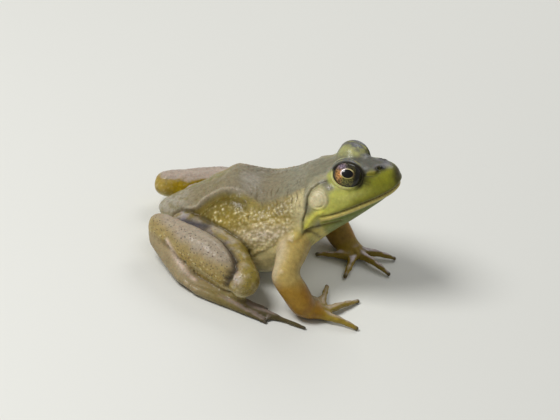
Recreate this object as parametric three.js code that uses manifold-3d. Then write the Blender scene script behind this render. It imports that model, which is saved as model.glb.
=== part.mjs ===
// An American bullfrog (Lithobates catesbeianus), a subadult female or young male, life size and still.
// It sits alert: hind legs folded, fore legs braced, trunk and head raised.
// Millimetres, +Z up, the snout towards +X.
// The flesh is a set of swept solids, each cut back from the ones before it, which leaves a thin part line.
import * as THREE from "three";
import { mergeVertices } from "three/addons/utils/BufferGeometryUtils.js";
import Module from "manifold-3d";

const wasm = await Module();
wasm.setup();

// ---------- driving dimensions ----------
const SVL = 85; // snout to vent along the body's axis
const PITCH = THREE.MathUtils.degToRad(24); // the trunk and head rise this much from the floor
const VENT_HEIGHT = 11.5;
const PART_LINE = 0.3; // gap between neighbouring solids
const EYE_RADIUS = 0.061 * SVL;
const TYMPANUM_RADIUS = 0.037 * SVL;
const SIDES = { left: 1, right: -1 };

// ---------- colours ----------
const skin = (name, color, roughness = 0.45) =>
  new THREE.MeshStandardMaterial({ name, color, roughness, metalness: 0 });
const OLIVE = skin("olive_skin", "#8c8259");
const GREEN = skin("green_lip_skin", "#8f9440");
const TAN = skin("tan_limb_skin", "#94804c");
const PALE = skin("pale_underside_skin", "#b5ab7a");
const EYE = skin("eye", "#3a2a14", 0.08);
const DRUM = skin("tympanum", "#b9ae86", 0.5);

// ---------- small helpers ----------
const v3 = (x, y, z) => new THREE.Vector3(x, y, z);

/** A smooth function through [place, value] pairs, with flat ends. */
function through(pairs) {
  const slope = (i) => {
    const a = pairs[Math.max(i - 1, 0)];
    const b = pairs[Math.min(i + 1, pairs.length - 1)];
    return (b[1] - a[1]) / (b[0] - a[0]);
  };
  return (x) => {
    const last = pairs.length - 1;
    if (x <= pairs[0][0]) return pairs[0][1];
    if (x >= pairs[last][0]) return pairs[last][1];
    const i = pairs.findIndex((p, k) => k < last && x <= pairs[k + 1][0]);
    const span = pairs[i + 1][0] - pairs[i][0];
    const t = (x - pairs[i][0]) / span;
    const t2 = t * t;
    const t3 = t2 * t;
    return (
      (2 * t3 - 3 * t2 + 1) * pairs[i][1] +
      (t3 - 2 * t2 + t) * span * slope(i) +
      (3 * t2 - 2 * t3) * pairs[i + 1][1] +
      (t3 - t2) * span * slope(i + 1)
    );
  };
}

/** Closes rings of points, each a list of vectors going round the same way, with a point at each end. */
function closedRings(first, rings, last) {
  const sides = rings[0].length;
  const points = [first, ...rings.flat(), last];
  const index = [];
  const at = (ring, k) => 1 + ring * sides + (k % sides);
  for (let k = 0; k < sides; k++) {
    index.push(0, at(0, k + 1), at(0, k));
    for (let ring = 0; ring < rings.length - 1; ring++) {
      index.push(at(ring, k), at(ring, k + 1), at(ring + 1, k + 1));
      index.push(at(ring, k), at(ring + 1, k + 1), at(ring + 1, k));
    }
    index.push(points.length - 1, at(rings.length - 1, k), at(rings.length - 1, k + 1));
  }
  const geometry = new THREE.BufferGeometry().setFromPoints(points);
  geometry.setIndex(index);
  return geometry;
}

/** A manifold-3d solid of a closed three.js geometry, turned the right way out. */
function solid(geometry, matrix = new THREE.Matrix4()) {
  const placed = geometry.clone().applyMatrix4(matrix);
  placed.deleteAttribute("normal");
  placed.deleteAttribute("uv");
  const merged = mergeVertices(placed, 1e-4);
  const triVerts = new Uint32Array(merged.index.array);
  const made = new wasm.Manifold(
    new wasm.Mesh({ numProp: 3, vertProperties: merged.attributes.position.array, triVerts }),
  );
  if (made.volume() > 0) return made;
  for (let i = 0; i < triVerts.length; i += 3) {
    [triVerts[i + 1], triVerts[i + 2]] = [triVerts[i + 2], triVerts[i + 1]];
  }
  return new wasm.Manifold(
    new wasm.Mesh({ numProp: 3, vertProperties: merged.attributes.position.array, triVerts }),
  );
}

/** A three.js mesh of a manifold-3d solid. */
function meshOf(made, name, material) {
  const mesh = made.getMesh();
  const geometry = new THREE.BufferGeometry();
  geometry.setAttribute("position", new THREE.BufferAttribute(mesh.vertProperties, 3));
  geometry.setIndex(new THREE.BufferAttribute(mesh.triVerts, 1));
  geometry.computeVertexNormals();
  const result = new THREE.Mesh(geometry, material);
  result.name = name;
  return result;
}

/**
 * A round-ended limb along a smooth line through joints, each {at, wide, thick}: the half widths across
 * the line, level with the floor and square to that. grow makes it fatter, to cut a neighbour back.
 */
function limb(joints, { sides = 12, steps = 10, grow = 0, level = v3(0, 0, 1) } = {}) {
  const line = new THREE.CatmullRomCurve3(joints.map((j) => j.at), false, "centripetal");
  const wide = through(joints.map((j, i) => [i / (joints.length - 1), j.wide]));
  const thick = through(joints.map((j, i) => [i / (joints.length - 1), j.thick ?? j.wide]));
  const ring = (t, along, share) => {
    const forward = line.getTangent(t);
    const across = new THREE.Vector3().crossVectors(level, forward).normalize();
    const over = new THREE.Vector3().crossVectors(forward, across);
    const middle = line.getPoint(t).addScaledVector(forward, along);
    return Array.from({ length: sides }, (_, k) => {
      const a = (2 * Math.PI * k) / sides;
      return middle
        .clone()
        .addScaledVector(across, Math.cos(a) * (wide(t) + grow) * share)
        .addScaledVector(over, Math.sin(a) * (thick(t) + grow) * share);
    });
  };
  const bulge = (t) => Math.min(wide(t), thick(t)) + grow;
  const capAngles = [60, 30].map((d) => THREE.MathUtils.degToRad(d));
  const rings = [];
  for (const a of capAngles) rings.push(ring(0, -Math.sin(a) * bulge(0), Math.cos(a)));
  for (let i = 0; i <= steps; i++) rings.push(ring(i / steps, 0, 1));
  for (const a of capAngles.toReversed()) rings.push(ring(1, Math.sin(a) * bulge(1), Math.cos(a)));
  const first = line.getPoint(0).addScaledVector(line.getTangent(0), -bulge(0));
  const last = line.getPoint(1).addScaledVector(line.getTangent(1), bulge(1));
  return solid(closedRings(first, rings, last));
}

/** A box between two corners, as a solid. */
function block(low, high, matrix) {
  const size = high.clone().sub(low);
  const middle = low.clone().add(high).multiplyScalar(0.5);
  const geometry = new THREE.BoxGeometry(size.x, size.y, size.z).translate(middle.x, middle.y, middle.z);
  return solid(geometry, matrix);
}

// ---------- trunk and head, in the body's own frame: x from vent to snout, z square to the back ----------
const BODY = new THREE.Matrix4()
  .makeTranslation(0, 0, VENT_HEIGHT)
  .multiply(new THREE.Matrix4().makeRotationY(-PITCH));
const HEAD_ROLL = THREE.MathUtils.degToRad(-5); // the head leans a little to its left
const ROLL_HEIGHT = 4;
/** Turns the body's own frame at x: none of the trunk, all of the head. */
function rollAt(x) {
  const turn = new THREE.Matrix4().makeRotationX(HEAD_ROLL * THREE.MathUtils.smoothstep(x, 38, 60));
  const up = new THREE.Matrix4().makeTranslation(0, 0, ROLL_HEIGHT);
  const down = new THREE.Matrix4().makeTranslation(0, 0, -ROLL_HEIGHT);
  return up.multiply(turn).multiply(down);
}
const inBody = (x, y, z) => v3(x, y, z).applyMatrix4(rollAt(x)).applyMatrix4(BODY);
const HEAD = BODY.clone().multiply(rollAt(SVL));

const NECK_X = 0.62 * SVL;
const MOUTH_CORNER_X = 0.675 * SVL;
const MOUTH_CORNER_HEIGHT = -2.9;
const MOUTH_RISE = THREE.MathUtils.degToRad(6.5); // its line towards the snout, against the body's axis
const SNOUT_X = 0.973 * SVL;
const TORSO_SIDES = 22;

// Each pair is [place along the body, size], both in millimetres.
const backHeight = through([
  [-1.8, -1.6], [0, 0], [6, 2.2], [12, 4.2], [18, 5.9], [22, 7.1], [25, 8.6], [28, 9.1], [31.5, 7.4],
  [36, 4.6], [41, 4.5], [46, 5.4], [53, 7.7],
  [61, 8.7], [70, 8.9], [76, 8.3], [79, 7.8], [81, 6.9], [82.2, 5.6], [83, 3.6],
]);
const bellyDepth = through([
  [-1.8, 4], [0, 5.6], [6, 9.4], [14, 15], [22, 20.5], [30, 24.7], [37, 25], [45, 21.5], [52, 17.5], [58, 14],
  [66, 10], [72, 6.8], [77, 4.2], [81, 1.8], [83.6, -0.8],
]);
const halfWidth = through([
  [-1.8, 1.8], [0, 4], [6, 6.8], [12, 10], [18, 13.6], [22, 15.8], [30, 18.7], [37, 19.4], [45, 18], [52, 16.6],
  [58, 16.2], [63, 15.4], [68, 13.7], [73, 11], [77, 8.4], [80.5, 5.8], [82.2, 3.9], [83, 2],
]);
const widestHeight = through([
  [-1.8, -2.6], [6, -3], [14, -3.8], [30, -7], [45, -6], [54, -3.5], [60, -1.2], [70, -0.6], [80, 0.8], [83.6, 1.6],
]);

// How boxy the underside is: 1 is an ellipse, and the belly sags flatter than that.
const lowerPower = through([[0, 0.95], [14, 0.9], [26, 0.7], [40, 0.66], [52, 0.9], [60, 0.95]]);

// The same for the upper side: the head is broad and flat on top.
const upperPower = through([[0, 1], [30, 1], [44, 0.9], [54, 0.68], [62, 0.68], [70, 0.82], [84, 0.95]]);

/** The section of the trunk or head at x: flatter on top of the head, boxier below the belly. */
function torsoRing(x, grow) {
  return Array.from({ length: TORSO_SIDES }, (_, k) => {
    const a = (2 * Math.PI * k) / TORSO_SIDES;
    const [c, s] = [Math.cos(a), Math.sin(a)];
    const power = s > 0 ? upperPower(x) : lowerPower(x);
    const height = s > 0 ? backHeight(x) - widestHeight(x) : bellyDepth(x) + widestHeight(x);
    const y = Math.sign(c) * Math.abs(c) ** power * (halfWidth(x) + grow);
    const z = widestHeight(x) + Math.sign(s) * Math.abs(s) ** power * (height + grow);
    return inBody(x, y, z);
  });
}

const TORSO_STATIONS = [
  -1.3, 0.2, 2.5, 6, 10, 14, 18, 22, 25, 28, 31, 34, 38, 42, 46, 50, 54, 58, 62, 66, 70, 73.5, 77, 79.5, 81.3, 82.5,
];
function torso(grow = 0) {
  const rings = TORSO_STATIONS.map((x) => torsoRing(x, grow));
  return solid(closedRings(inBody(-1.8 - grow, 0, -2.6), rings, inBody(SNOUT_X + 0.5 + grow, 0, 2)));
}

// ---------- eyes, lids and ear drums ----------
const eyeAt = (side) => inBody(66.8, side * 7.8, 7.6);
const lidAt = (side) => inBody(66.4, side * 6.7, 7.8);
const ballOf = (middle, radius, detail) =>
  solid(new THREE.SphereGeometry(radius, ...detail).translate(...middle.toArray()));
const eyeball = (side, grow = 0) => ballOf(eyeAt(side), EYE_RADIUS + grow, [16, 9]);
const LID_THICK = 0.55;
const lidBulge = (side) => ballOf(lidAt(side), EYE_RADIUS + LID_THICK, [12, 9]);

/** The half width of the head at x, at a height above its widest place. */
function headSide(x, z) {
  const share = (z - widestHeight(x)) / (backHeight(x) - widestHeight(x));
  const power = upperPower(x);
  return halfWidth(x) * (1 - share ** (2 / power)) ** (power / 2);
}

const DRUM_THICK = 1.6;
const DRUM_SUNK = 0.95; // how deep the middle of its thickness lies
const DRUM_AT = { x: 57.6, z: 3.1 };
/** The ear drum is a disc behind and below the eye that faces out, up and a little back. */
function earDrum(side, grow = 0) {
  const radius = TYMPANUM_RADIUS + grow;
  const disc = new THREE.CylinderGeometry(radius, radius, DRUM_THICK + 2 * grow, 16);
  const facing = v3(-0.02, side, 0.48).normalize();
  const turn = new THREE.Quaternion().setFromUnitVectors(v3(0, 1, 0), facing);
  const out = headSide(DRUM_AT.x, DRUM_AT.z) - DRUM_SUNK;
  const middle = v3(DRUM_AT.x, side * out, DRUM_AT.z);
  const place = new THREE.Matrix4().compose(middle, turn, v3(1, 1, 1));
  return solid(disc, HEAD.clone().multiply(place));
}

// ---------- poses of the limbs ----------
// Joints in the floor's frame, with the vent at x 0. Each side has its own pose.
const FINGER_TIP = 0.7; // height of the tips' middles
const TOE_TIP = 0.6;
const ARMS = {
  right: {
    side: -1,
    shoulder: v3(47.7, -11.5, 21.5),
    elbow: v3(47, -28.2, 14.6),
    wrist: v3(56.4, -26.9, 4.3),
    knuckles: v3(62.2, -22.8, 2.2),
    fingerTips: [
      v3(54.5, -13.5, FINGER_TIP), v3(61.5, -5, FINGER_TIP), v3(73.3, -8.4, FINGER_TIP),
      v3(75.8, -25.2, FINGER_TIP),
    ],
  },
  left: {
    side: 1,
    shoulder: v3(47.7, 11.5, 21.5),
    elbow: v3(49.4, 28.2, 12.8),
    wrist: v3(62.8, 20.2, 3.8),
    knuckles: v3(68, 17.4, 2),
    fingerTips: [
      v3(54.5, 12, FINGER_TIP), v3(66.4, 3.2, FINGER_TIP), v3(81, 12.6, FINGER_TIP),
      v3(81.4, 23.5, FINGER_TIP),
    ],
  },
};
const LEGS = {
  right: {
    side: -1,
    shankLift: 1.2,
    hip: v3(11, -9, 9.8),
    knee: v3(35.8, -32.3, 10.4),
    heel: v3(2.4, -15.3, 11.6),
    ankle: v3(3, -17.6, 8.6),
    ball: v3(16.6, -29.6, 2.8),
    toeTips: [
      v3(28.5, -24.5, TOE_TIP), v3(35, -26, TOE_TIP), v3(45, -29, TOE_TIP), v3(58.9, -33.5, TOE_TIP),
      v3(46, -36.8, TOE_TIP),
    ],
  },
  left: {
    side: 1,
    shankLift: 0.3,
    hip: v3(11, 9, 9.8),
    knee: v3(33.5, 30.6, 9),
    heel: v3(-1, 15.6, 8.8),
    ankle: v3(0.2, 17.8, 7.6),
    ball: v3(14, 29, 2.8),
    toeTips: [
      v3(25, 25, TOE_TIP), v3(31.5, 27, TOE_TIP), v3(41.5, 30.5, TOE_TIP), v3(55, 34.5, TOE_TIP),
      v3(42, 37.2, TOE_TIP),
    ],
  },
};
const between = (a, b, share, lift = 0) => a.clone().lerp(b, share).add(v3(0, 0, lift));

// ---------- limbs ----------
const THIGH_BOW = v3(2.8, 0, 0); // the muscle swells ahead of the bone
const LIMBS = {
  upper_arm: (arm, grow) =>
    limb(
      [
        { at: arm.shoulder, wide: 6, thick: 6.5 },
        { at: between(arm.shoulder, arm.elbow, 0.5, 0.5), wide: 5.2, thick: 5.4 },
        { at: between(arm.shoulder, arm.elbow, 0.95), wide: 4.1 },
      ],
      { grow, steps: 6 },
    ),
  forearm: (arm, grow) =>
    limb(
      [
        { at: arm.elbow, wide: 4.4 },
        { at: between(arm.elbow, arm.wrist, 0.45, 0.3), wide: 5, thick: 4.7 },
        { at: between(arm.elbow, arm.wrist, 0.92), wide: 5.1, thick: 4.3 },
      ],
      { grow, steps: 7 },
    ),
  hand: (arm, grow) =>
    limb(
      [
        { at: arm.wrist, wide: 4.6, thick: 3.5 },
        { at: arm.knuckles, wide: 4.6, thick: 2.2 },
      ],
      { grow, steps: 3, sides: 10 },
    ),
  thigh: (leg, grow) =>
    limb(
      [
        { at: leg.hip, wide: 6.4, thick: 6.4 },
        { at: between(leg.hip, leg.knee, 0.47, 1.4).add(THIGH_BOW), wide: 6.8, thick: 6.8 },
        { at: between(leg.hip, leg.knee, 0.95), wide: 5.9, thick: 5.9 },
      ],
      { grow, steps: 7, sides: 12 },
    ),
  shank: (leg, grow) =>
    limb(
      [
        { at: between(leg.knee, leg.heel, 0.06), wide: 4.8, thick: 5 },
        { at: between(leg.knee, leg.heel, 0.45, leg.shankLift), wide: 6.6, thick: 6.9 },
        { at: leg.heel, wide: 4.3, thick: 4.7 },
      ],
      { grow, steps: 7, sides: 12 },
    ),
  tarsus: (leg, grow) =>
    limb(
      [
        { at: leg.ankle, wide: 3.8 },
        { at: between(leg.ankle, leg.ball, 0.5), wide: 3.6 },
        { at: between(leg.ankle, leg.ball, 0.9), wide: 3.4, thick: 2.8 },
      ],
      { grow, steps: 6 },
    ),
};

const UP = v3(0, 0, 1);
/** Level, square to the line a-b, towards the frog's middle. */
const inward = (a, b, side) =>
  b.clone().sub(a).setZ(0).normalize().cross(UP).multiplyScalar(side);

const FINGER_BASES = [1.8, 1.8, 2, 2.1];
const FINGER_SPREAD = 2;
/** Finger n, 0 the innermost: from the knuckles to its tip, bowed up in its middle. */
function finger(arm, n, grow = 0) {
  const across = inward(arm.wrist, arm.knuckles, arm.side);
  const base = arm.knuckles.clone().addScaledVector(across, (1.5 - n) * FINGER_SPREAD);
  const tip = arm.fingerTips[n];
  return limb(
    [
      { at: base, wide: FINGER_BASES[n], thick: 1.7 },
      { at: between(base, tip, 0.5, 0.7), wide: 1.4, thick: 1.3 },
      { at: tip, wide: 1, thick: 0.85 },
    ],
    { grow, steps: 3, sides: 7 },
  );
}

const TOE_BASES = [1.5, 1.6, 1.8, 2, 1.5];
const TOE_STARTS = [1.5, 0.5, 0, 0.5, 3.2]; // how far ahead of the ball each toe starts
const TOE_SPREAD = 1.4;
const WEB_THICK = 0.8;
/** The foot: five toes side by side and the web between them, from the ball to the toe tips. */
function foot(leg) {
  const longest = leg.toeTips[3];
  const across = inward(leg.ball, longest, leg.side);
  const ahead = longest.clone().sub(leg.ball).setZ(0).normalize();
  const bases = leg.toeTips.map((_, n) =>
    leg.ball.clone().addScaledVector(across, (2 - n) * TOE_SPREAD).addScaledVector(ahead, TOE_STARTS[n]),
  );
  const toes = leg.toeTips.map((tip, n) =>
    limb(
      [
        { at: bases[n], wide: TOE_BASES[n], thick: 2 },
        { at: between(bases[n], tip, 0.5, 0.5), wide: TOE_BASES[n] * 0.8, thick: 1.3 },
        { at: tip, wide: 0.9, thick: 0.8 },
      ],
      { steps: 3, sides: 6 },
    ),
  );
  const outline = new THREE.Shape();
  outline.moveTo(bases[0].x, bases[0].y);
  leg.toeTips.forEach((tip, n) => {
    const reach = between(bases[n], tip, 0.86);
    if (n === 0) {
      outline.lineTo(reach.x, reach.y);
      return;
    }
    const before = between(bases[n - 1], leg.toeTips[n - 1], 0.86);
    const notch = before.clone().add(reach).multiplyScalar(0.5).lerp(leg.ball, 0.08);
    outline.quadraticCurveTo(notch.x, notch.y, reach.x, reach.y);
  });
  outline.lineTo(bases[4].x, bases[4].y);
  const flat = { depth: WEB_THICK, bevelEnabled: false, curveSegments: 4 };
  const web = new THREE.ExtrudeGeometry(outline, flat);
  return toes.reduce((made, toe) => made.add(toe), solid(web));
}

// ---------- assembly ----------
const group = new THREE.Group();
const FAR = 200;
const floor = block(v3(-FAR, -FAR, -FAR), v3(FAR, FAR, 0));
const roomOf = [];
/** Cuts a solid back from the ones before it, drops slivers, and keeps its grown shape for the next cuts. */
function add(name, material, shape, grown) {
  const cut = roomOf.reduce((left, other) => left.subtract(other), shape).subtract(floor);
  const [largest] = cut.decompose().toSorted((a, b) => b.volume() - a.volume());
  group.add(meshOf(largest, name, material));
  if (grown) roomOf.push(grown);
}

const sides = Object.entries(SIDES);
const eyes = sides.map(([, side]) => eyeball(side, PART_LINE));
const drums = sides.map(([, side]) => earDrum(side, PART_LINE));
const lids = sides.map(([, side]) => lidBulge(side));
const withLids = lids.reduce((made, lid) => made.add(lid), torso());
const whole = [...eyes, ...drums].reduce((made, hole) => made.subtract(hole), withLids);
const behindNeck = block(v3(-FAR, -FAR, -FAR), v3(NECK_X, FAR, FAR), BODY);
const aheadOfNeck = block(v3(NECK_X + PART_LINE, -FAR, -FAR), v3(FAR, FAR, FAR), BODY);
const MOUTH = HEAD.clone()
  .multiply(new THREE.Matrix4().makeTranslation(MOUTH_CORNER_X, 0, MOUTH_CORNER_HEIGHT))
  .multiply(new THREE.Matrix4().makeRotationY(-MOUTH_RISE));
const jaw = block(v3(0, -FAR, -FAR), v3(FAR, FAR, 0), MOUTH);
const jawRoom = block(v3(-PART_LINE, -FAR, -FAR), v3(FAR, FAR, PART_LINE), MOUTH);

add("trunk", OLIVE, whole.intersect(behindNeck));
add("head", GREEN, whole.intersect(aheadOfNeck).subtract(jawRoom));
add("lower_jaw", PALE, whole.intersect(jaw));
for (const [name, side] of sides) {
  add(`eye_${name}`, EYE, eyeball(side));
  add(`tympanum_${name}`, DRUM, earDrum(side));
}
roomOf.push(torso(PART_LINE));
for (const [name] of sides) {
  const arm = ARMS[name];
  for (const part of ["upper_arm", "forearm", "hand"]) {
    add(`${part}_${name}`, TAN, LIMBS[part](arm, 0), LIMBS[part](arm, PART_LINE));
  }
  arm.fingerTips.forEach((_, n) => {
    add(`finger_${n + 1}_${name}`, TAN, finger(arm, n), finger(arm, n, PART_LINE));
  });
  const leg = LEGS[name];
  for (const part of ["thigh", "shank", "tarsus"]) {
    add(`${part}_${name}`, TAN, LIMBS[part](leg, 0), LIMBS[part](leg, PART_LINE));
  }
  add(`foot_${name}`, TAN, foot(leg));
}

const bounds = new THREE.Box3().setFromObject(group);
const centre = bounds.getCenter(v3(0, 0, 0));
for (const mesh of group.children) mesh.geometry.translate(-centre.x, -centre.y, -bounds.min.z);

export default group;
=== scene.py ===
"""A young American bullfrog, life size, sitting alert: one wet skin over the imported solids, and two eyes."""

import math

import bmesh
import bpy
import numpy as np
from mathutils import Matrix, Vector, noise
from mathutils.bvhtree import BVHTree


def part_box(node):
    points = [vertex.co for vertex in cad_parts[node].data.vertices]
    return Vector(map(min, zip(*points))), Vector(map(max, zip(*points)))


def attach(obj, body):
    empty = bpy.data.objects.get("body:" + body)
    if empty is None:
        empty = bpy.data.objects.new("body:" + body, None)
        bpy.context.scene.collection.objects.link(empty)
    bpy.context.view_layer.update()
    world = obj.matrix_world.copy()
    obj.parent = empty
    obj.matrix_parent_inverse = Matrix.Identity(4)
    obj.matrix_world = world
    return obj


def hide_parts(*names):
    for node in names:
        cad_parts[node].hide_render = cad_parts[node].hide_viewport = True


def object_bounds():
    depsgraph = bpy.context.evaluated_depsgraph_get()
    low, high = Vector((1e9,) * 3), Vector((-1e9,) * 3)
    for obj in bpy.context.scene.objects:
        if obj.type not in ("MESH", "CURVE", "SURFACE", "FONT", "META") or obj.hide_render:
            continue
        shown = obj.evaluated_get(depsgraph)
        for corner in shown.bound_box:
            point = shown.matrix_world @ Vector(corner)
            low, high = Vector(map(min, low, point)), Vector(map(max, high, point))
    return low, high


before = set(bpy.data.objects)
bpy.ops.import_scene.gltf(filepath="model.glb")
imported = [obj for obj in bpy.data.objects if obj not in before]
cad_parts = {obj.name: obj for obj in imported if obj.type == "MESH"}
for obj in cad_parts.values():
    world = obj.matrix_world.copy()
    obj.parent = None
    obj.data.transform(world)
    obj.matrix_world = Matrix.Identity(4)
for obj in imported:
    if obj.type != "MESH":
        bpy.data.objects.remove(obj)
cad_box = [list(corner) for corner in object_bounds()]
NODES = sorted(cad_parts)
MM = 0.001

# ---------- the frog's own directions ----------
# The trunk and head lie along a line that rises from the vent, and the head leans a little to its left.
PITCH = math.radians(24)
VENT_HEIGHT = 11.5
HEAD_ROLL = math.radians(-5)
ROLL_HEIGHT = 4
NECK = (38, 60)  # the head's lean comes in between these places along the body
EYE_IN_BODY = (66.8, 7.8, 7.6)
EYE_RADIUS = 5.185
DRUM_IN_BODY = (57.6, 3.1)
DRUM_RADIUS = 3.1


def ramp(x, low, high):
    """Rises smoothly from 0 at low to 1 at high."""
    t = np.clip((x - low) / (high - low), 0, 1)
    return t * t * (3 - 2 * t)


def fall(x, low, high):
    """Falls smoothly from 1 at low to 0 at high."""
    return 1 - ramp(x, low, high)


def bump(distance, width):
    """1 at no distance, and about a third at width."""
    return np.exp(-((distance / width) ** 2))


def rolled(x, y, z, angle):
    """Leans the head over about the body's line, from the shoulders forwards."""
    lean = angle * ramp(x, *NECK)
    z = z - ROLL_HEIGHT
    return y * np.cos(lean) - z * np.sin(lean), y * np.sin(lean) + z * np.cos(lean) + ROLL_HEIGHT


def body_to_vent(x, y, z):
    """From the body's line, x from vent to snout and z square to the back, to millimetres about the vent."""
    y, z = rolled(x, y, z, HEAD_ROLL)
    along = np.cos(PITCH) * x - np.sin(PITCH) * z
    up = np.sin(PITCH) * x + np.cos(PITCH) * z + VENT_HEIGHT
    return np.stack(np.broadcast_arrays(along, y, up), -1)


def vent_to_body(points):
    x, y, z = points[:, 0], points[:, 1], points[:, 2] - VENT_HEIGHT
    x, z = np.cos(PITCH) * x + np.sin(PITCH) * z, np.cos(PITCH) * z - np.sin(PITCH) * x
    return np.stack([x, *rolled(x, y, z, -HEAD_ROLL)], -1)


def add_object(name, data):
    thing = bpy.data.objects.new(name, data)
    bpy.context.scene.collection.objects.link(thing)
    return thing


def finished_mesh(shape, name):
    mesh = bpy.data.meshes.new(name)
    shape.to_mesh(mesh)
    shape.free()
    return mesh


def from_point(points, place):
    return np.linalg.norm(points - place, axis=1)


def middle_of(node):
    low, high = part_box(node)
    return (np.array(low) + np.array(high)) / 2 / MM


VENT = middle_of("eye_right") - body_to_vent(EYE_IN_BODY[0], -EYE_IN_BODY[1], EYE_IN_BODY[2])
VENT[2] = 0  # the floor is at the same level in both

# ---------- camera ----------
LOOK_AT = Vector((0.68, 1.72, 20.08)) * MM
ELEVATION, AZIMUTH, TILT = (math.radians(angle) for angle in (32.08, 1.56, 15.56))
VIEW_DISTANCE = 1.5
FOCAL_LENGTH, FILM_WIDTH = 286.4, 36


def set_camera():
    level = Vector((math.cos(AZIMUTH), math.sin(AZIMUTH), 0))
    back = Vector((level.y, -level.x, 0)) * math.cos(ELEVATION) + Vector((0, 0, math.sin(ELEVATION)))
    over = back.cross(level)
    across = level * math.cos(TILT) + over * math.sin(TILT)
    upward = over * math.cos(TILT) - level * math.sin(TILT)
    data = bpy.data.cameras.new("camera")
    data.lens = FOCAL_LENGTH
    data.sensor_width = FILM_WIDTH
    data.clip_start, data.clip_end = 0.01, 20
    camera = add_object("camera", data)
    turn = Matrix((across, upward, back)).transposed().to_4x4()
    camera.matrix_world = Matrix.Translation(LOOK_AT + back * VIEW_DISTANCE) @ turn
    bpy.context.scene.camera = camera


set_camera()


# ---------- limbs: where they bend, in millimetres about the vent ----------
RIGHT, LEFT = -1, 1
HANDS = {
    RIGHT: {
        "wrist": (56.4, -26.9, 4.3),
        "knuckles": (62.2, -22.8, 2.2),
        "tips": ((54.5, -13.5), (61.5, -5), (73.3, -8.4), (75.8, -25.2)),
    },
    LEFT: {
        "wrist": (62.8, 20.2, 3.8),
        "knuckles": (68, 17.4, 2),
        "tips": ((54.5, 12), (66.4, 3.2), (81, 12.6), (81.4, 23.5)),
    },
}
FEET = {
    RIGHT: {
        "heel": (2.4, -15.3, 11.6),
        "knee": (35.8, -32.3, 10.4),
        "ball": (16.6, -29.6, 2.8),
        "tips": ((28.5, -24.5), (35, -26), (45, -29), (58.9, -33.5), (46, -36.8)),
    },
    LEFT: {
        "heel": (-1, 15.6, 8.8),
        "knee": (33.5, 30.6, 9),
        "ball": (14, 29, 2.8),
        "tips": ((25, 25), (31.5, 27), (41.5, 30.5), (55, 34.5), (42, 37.2)),
    },
}
FINGER_SPREAD, TOE_SPREAD = 2.0, 1.4
TOE_STARTS = (1.5, 0.5, 0, 0.5, 3.2)  # how far before the ball of the foot each toe leaves it
TIP_HEIGHT = 0.7
TIP_ROUND = 0.8  # radius of the little ball at each tip


def fan(side, root, along, tips, spread, starts):
    """The lines from base to tip of the digits that leave root side by side, along one direction."""
    ahead = along.to_2d().normalized().to_3d()
    inward = ahead.cross(Vector((0, 0, 1))) * side
    for n, (tip, start) in enumerate(zip(tips, starts)):
        base = root + inward * ((len(tips) - 1) / 2 - n) * spread + ahead * start
        yield base, Vector((*tip, TIP_HEIGHT))


def digits():
    """Every finger and toe, as the line along its bones from base to tip."""
    for side, hand in HANDS.items():
        knuckles = Vector(hand["knuckles"])
        palm = knuckles - Vector(hand["wrist"])
        yield from fan(side, knuckles, palm, hand["tips"], FINGER_SPREAD, (0, 0, 0, 0))
    for side, foot in FEET.items():
        ball = Vector(foot["ball"])
        longest = Vector((*foot["tips"][3], 0))
        yield from fan(side, ball, longest - ball, foot["tips"], TOE_SPREAD, TOE_STARTS)


# ---------- skin: one surface over all the flesh ----------
SWELL = 0.17  # closes the part lines between the solids, and is taken off again
EYE_SWELL = 0.1
VOXEL = 0.8  # size of the skin's faces, before the parts with fine detail are halved
CLEFT_BALLS = 13  # the flesh that fills the cleft of a folded leg is a row of balls
CLEFT_START, CLEFT_END = 2.9, 2.5  # their radii at its two ends
CLEFT_HEIGHT = 4.4
ROUNDING = {  # passes of smoothing, more on the big forms than on the fingers
    "trunk": 50,
    "head": 36,
    "lower_jaw": 36,
    "tympanum": 24,
    "eye": 8,
    "upper_arm": 24,
    "forearm": 22,
    "hand": 7,
    "finger": 5,
    "thigh": 28,
    "shank": 28,
    "tarsus": 24,
    "foot": 5,
}
KINDS = list(ROUNDING)


def kind_of(node):
    return next(kind for kind in KINDS if node.startswith(kind))


def solid_of(node):
    """A merged copy of a node's solid, in millimetres."""
    shape = bmesh.new()
    shape.from_mesh(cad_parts[node].data)
    bmesh.ops.scale(shape, vec=(1 / MM,) * 3, verts=shape.verts)
    bmesh.ops.remove_doubles(shape, verts=shape.verts, dist=0.002)
    return shape


def fill_cleft(joined, foot):
    """Adds the flesh that closes the cleft where the shank lies on the tarsus."""
    heel, knee, ball = (Vector(foot[name]) for name in ("heel", "knee", "ball"))
    start = heel.lerp(ball, 0.3) + Vector((2, 0, 0))
    end = heel.lerp(knee, 0.88) * 0.82 + ball * 0.18
    end.z = CLEFT_HEIGHT
    for share in np.linspace(0, 1, CLEFT_BALLS):
        radius = CLEFT_START + (CLEFT_END - CLEFT_START) * share
        place = Matrix.Translation(start.lerp(end, share) + Vector(VENT))
        bmesh.ops.create_icosphere(joined, subdivisions=3, radius=radius, matrix=place)


def wrapped_flesh():
    """One closed mesh of even faces round all the solids, eyeballs included."""
    joined = bmesh.new()
    for foot in FEET.values():
        fill_cleft(joined, foot)
    for node in NODES:
        shape = solid_of(node)
        shape.normal_update()
        swell = EYE_SWELL if kind_of(node) == "eye" else SWELL
        for vert in shape.verts:
            vert.co += vert.normal * swell
        part = finished_mesh(shape, "part")
        joined.from_mesh(part)
        bpy.data.meshes.remove(part)
    wrap = add_object("wrap", finished_mesh(joined, "wrap"))
    remesh = wrap.modifiers.new("remesh", "REMESH")
    remesh.mode = "VOXEL"
    remesh.voxel_size = VOXEL
    graph = bpy.context.evaluated_depsgraph_get()
    result = bpy.data.meshes.new_from_object(wrap.evaluated_get(graph))
    bpy.data.objects.remove(wrap)
    return result


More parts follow.
